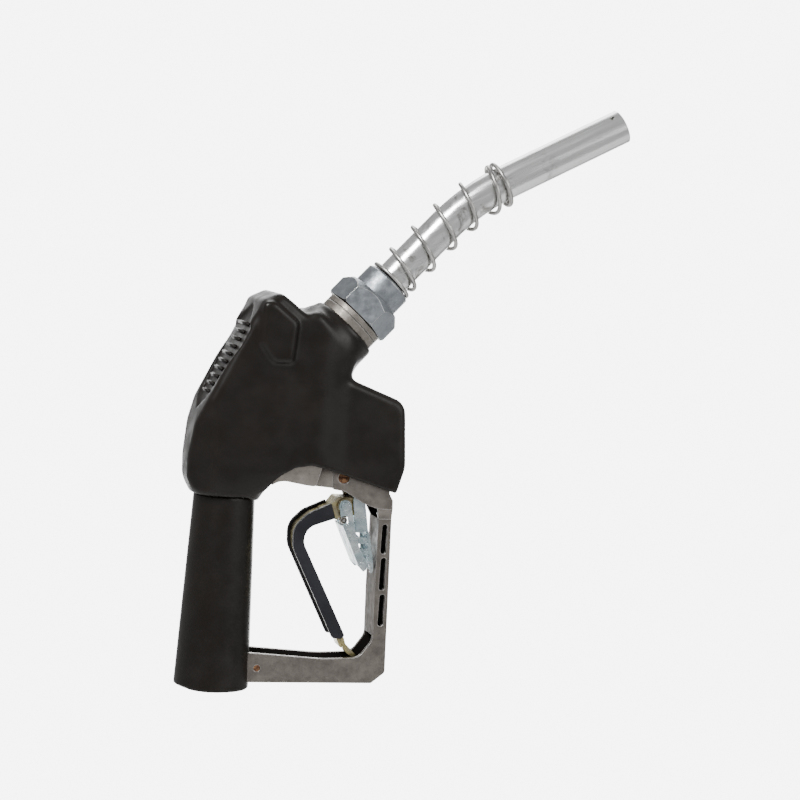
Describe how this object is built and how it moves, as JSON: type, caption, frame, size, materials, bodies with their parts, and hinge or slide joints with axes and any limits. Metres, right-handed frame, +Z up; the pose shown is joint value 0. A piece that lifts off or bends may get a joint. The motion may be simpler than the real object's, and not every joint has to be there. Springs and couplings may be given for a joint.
{
  "type": "fuel nozzle",
  "caption": "Automatic fuel nozzle with a vinyl-covered cast body, bent spout with anchor spring, lever guard, squeeze lever and hold-open clip.",
  "frame": {"origin": "centre of the hose inlet's mouth at the foot of the handle", "axes": "+Z up the handle's axis, +X towards the lever guard and spout, Y across the nozzle"},
  "size_m": [0.255, 0.054, 0.3531],
  "materials": {
    "cast_body": "as-cast, dull",
    "vinyl": "semi-gloss plasticised vinyl",
    "cast_guard": "as-cast, tumbled and stained",
    "rusted_steel": "rusted",
    "nut_casting": "satin casting",
    "spout_aluminium": "drawn tube, scratched",
    "spring_steel": "drawn wire",
    "black_rubber": "matte",
    "brass": "machined",
    "stainless": "ground",
    "cap_aluminium": "machined",
    "yellow_zinc": "yellow passivated zinc plate",
    "lever_vinyl": "satin dipped vinyl",
    "clear_zinc": "clear passivated zinc plate"
  },
  "bodies": {
    "nozzle": {"body_casting": "cast_body", "body_cover": "vinyl", "handle_grip": "vinyl", "lever_guard": "cast_guard", "guard_screws": "rusted_steel", "guard_foot_pin": "rusted_steel", "spout_nut": "nut_casting", "spout_adapter": "nut_casting", "spout_tube": "spout_aluminium", "spout_spring": "spring_steel", "poppet_spring": "spring_steel", "check_spring": "spring_steel", "plunger_spring": "spring_steel", "diaphragm_spring": "spring_steel", "neck_o_ring": "black_rubber", "stem_packing": "black_rubber", "diaphragm": "black_rubber", "packing_nut": "brass", "valve_seat": "brass", "spring_retainer": "brass", "check_seat": "brass", "plunger_bushing": "brass", "latch_ring": "brass", "vent_tube": "stainless", "diaphragm_cap": "cap_aluminium", "rack": "clear_zinc", "rack_screws": "clear_zinc"},
    "main_valve": {"valve_stem": "stainless", "poppet_disc": "black_rubber", "main_poppet": "brass"},
    "check_valve": {"check_poppet": "stainless"},
    "trip_plunger": {"plunger": "stainless", "latch_balls": "stainless", "lever_pivot_pin": "stainless"},
    "latch": {"latch_pin": "stainless"},
    "lever": {"lever": "yellow_zinc", "lever_sleeve": "lever_vinyl", "clip_rivet": "clear_zinc", "clip_washers": "yellow_zinc", "clip_spring_pin": "stainless", "clip_spring": "spring_steel"},
    "clip": {"hold_open_clip": "clear_zinc", "clip_catch_pin": "clear_zinc"}
  },
  "joints": [
    {"name": "plunger_trip", "type": "slide", "parent": "nozzle", "child": "trip_plunger", "axis": [0, 0, -1], "range_m": [0, 0.006], "stiffness_N_per_m": 1500, "springref_m": -0.004, "deforming": ["plunger_spring"]},
    {"name": "latch_lift", "type": "slide", "parent": "nozzle", "child": "latch", "axis": [0, 0, 1], "range_m": [0, 0.003], "stiffness_N_per_m": 500, "springref_m": -0.003, "deforming": ["diaphragm_spring", "diaphragm"]},
    {"name": "lever_squeeze", "type": "hinge", "parent": "trip_plunger", "child": "lever", "pos_m": [0.082, 0, 0.114], "axis": [0, 1, 0], "range_deg": [0, 22], "stiffness_Nm_per_rad": 1.2, "springref_deg": -20.05},
    {"name": "stem_lift", "type": "slide", "parent": "nozzle", "child": "main_valve", "axis": [-0.342, 0, 0.9397], "range_m": [0, 0.0052], "deforming": ["poppet_spring"]},
    {"name": "clip_swing", "type": "hinge", "parent": "lever", "child": "clip", "pos_m": [0.0704, 0, 0.109], "axis": [0, 1, 0], "range_deg": [-5, 0], "stiffness_Nm_per_rad": 0.08, "springref_deg": 28.65, "deforming": ["clip_spring"]},
    {"name": "check_lift", "type": "slide", "parent": "nozzle", "child": "check_valve", "axis": [0.6626, 0, 0.749], "range_m": [0, 0.004], "stiffness_N_per_m": 300, "springref_m": -0.003, "deforming": ["check_spring"]}
  ],
  "couplings": [
    {"joint": "stem_lift", "follows": "lever_squeeze", "m_per_rad": 0.0129}
  ]
}
